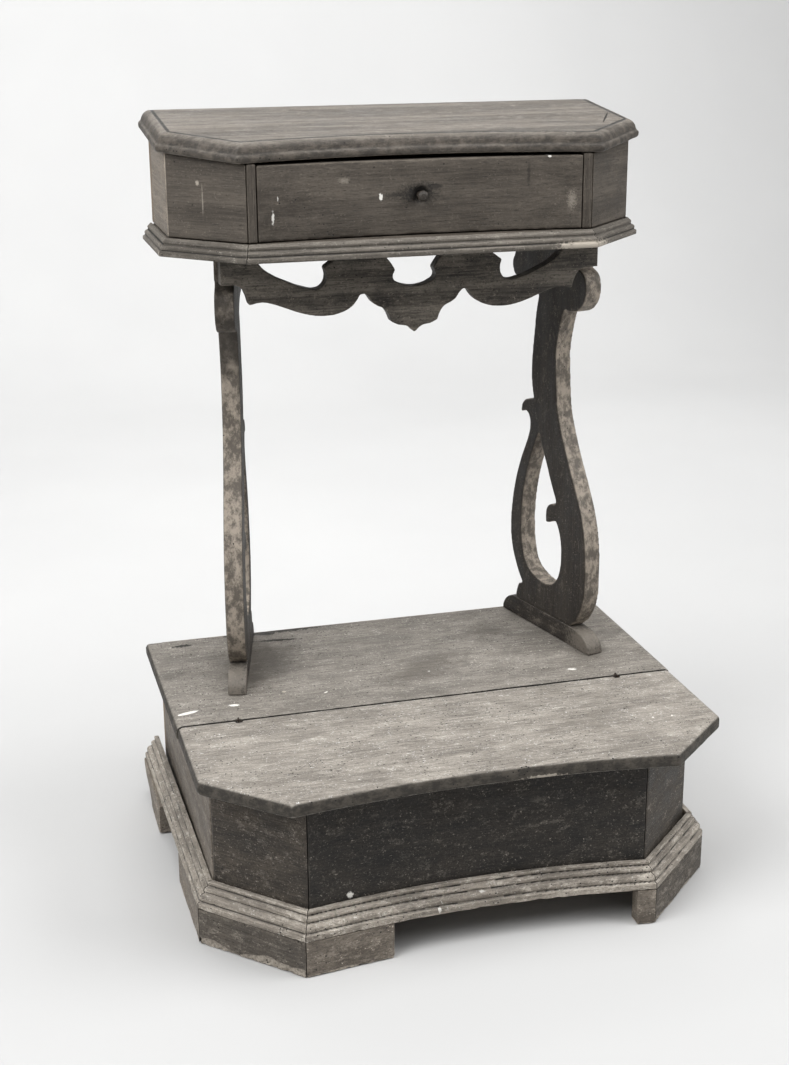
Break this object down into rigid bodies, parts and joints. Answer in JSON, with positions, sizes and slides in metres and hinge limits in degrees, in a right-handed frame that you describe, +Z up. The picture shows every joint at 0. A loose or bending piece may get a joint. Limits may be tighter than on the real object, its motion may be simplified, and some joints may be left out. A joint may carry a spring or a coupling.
{
  "type": "kneeling desk",
  "caption": "Kneeling desk with a box base and hinged kneeling lid, scroll-sawn supports, fretted apron and a sloping-topped desk with a drawer.",
  "frame": {"origin": "middle of the floor footprint, on the floor", "axes": "+Z up, -Y towards the person kneeling, +X to that person's right as they face the desk"},
  "size_m": [0.623, 0.516, 0.8821],
  "materials": {
    "carcass_wood": "dark, dry, worm-eaten walnut, waxed long ago",
    "moulding_wood": "worn walnut with bare arrises",
    "kneeling_wood": "grey, dusty, hand-worn walnut",
    "desk_top_wood": "planed walnut, dusty, scratched",
    "support_wood": "dark waxed walnut",
    "secondary_wood": "unfinished softwood, aged",
    "hinge_iron": "wrought iron wire, rust-brown"
  },
  "bodies": {
    "stand": {"base_front_board": "carcass_wood", "base_cant_board_left": "carcass_wood", "base_cant_board_right": "carcass_wood", "base_side_board_left": "carcass_wood", "base_side_board_right": "carcass_wood", "desk_side_board_left": "carcass_wood", "desk_side_board_right": "carcass_wood", "desk_cant_board_left": "carcass_wood", "desk_cant_board_right": "carcass_wood", "desk_stile_left": "carcass_wood", "desk_stile_right": "carcass_wood", "desk_bottom_board": "carcass_wood", "plinth_front": "moulding_wood", "plinth_cant_left": "moulding_wood", "plinth_cant_right": "moulding_wood", "plinth_side_left": "moulding_wood", "plinth_side_right": "moulding_wood", "foot_front_left": "moulding_wood", "foot_front_right_stub": "moulding_wood", "foot_cant_left": "moulding_wood", "foot_cant_right": "moulding_wood", "foot_side_front_left": "moulding_wood", "foot_side_front_right": "moulding_wood", "foot_side_rear_left": "moulding_wood", "foot_side_rear_right": "moulding_wood", "desk_moulding_front": "moulding_wood", "desk_moulding_cant_left": "moulding_wood", "desk_moulding_cant_right": "moulding_wood", "desk_moulding_side_left": "moulding_wood", "desk_moulding_side_right": "moulding_wood", "base_top_board": "kneeling_wood", "desk_top_board": "desk_top_wood", "support_left": "support_wood", "support_right": "support_wood", "foot_rail_left": "support_wood", "foot_rail_right": "support_wood", "apron": "support_wood", "base_back_board": "secondary_wood", "base_bottom_board": "secondary_wood", "base_cross_rail": "secondary_wood", "base_corner_block_left": "secondary_wood", "base_corner_block_right": "secondary_wood", "desk_back_board": "secondary_wood", "drawer_guide_left": "secondary_wood", "drawer_guide_right": "secondary_wood", "hinge_eye_board_left": "hinge_iron", "hinge_eye_board_right": "hinge_iron"},
    "lid": {"kneeling_lid": "kneeling_wood", "lid_batten_left": "secondary_wood", "lid_batten_right": "secondary_wood", "hinge_eye_lid_left": "hinge_iron", "hinge_eye_lid_right": "hinge_iron"},
    "drawer": {"drawer_front": "carcass_wood", "drawer_side_left": "secondary_wood", "drawer_side_right": "secondary_wood", "drawer_back": "secondary_wood", "drawer_bottom": "secondary_wood", "drawer_knob": "carcass_wood"}
  },
  "joints": [
    {"name": "lid_hinge", "type": "hinge", "parent": "stand", "child": "lid", "pos_m": [0, -0.037, 0.218], "axis": [-1, 0, 0], "range_deg": [0, 112]},
    {"name": "drawer_slide", "type": "slide", "parent": "stand", "child": "drawer", "axis": [0, -1, 0], "range_m": [0, 0.145]}
  ]
}
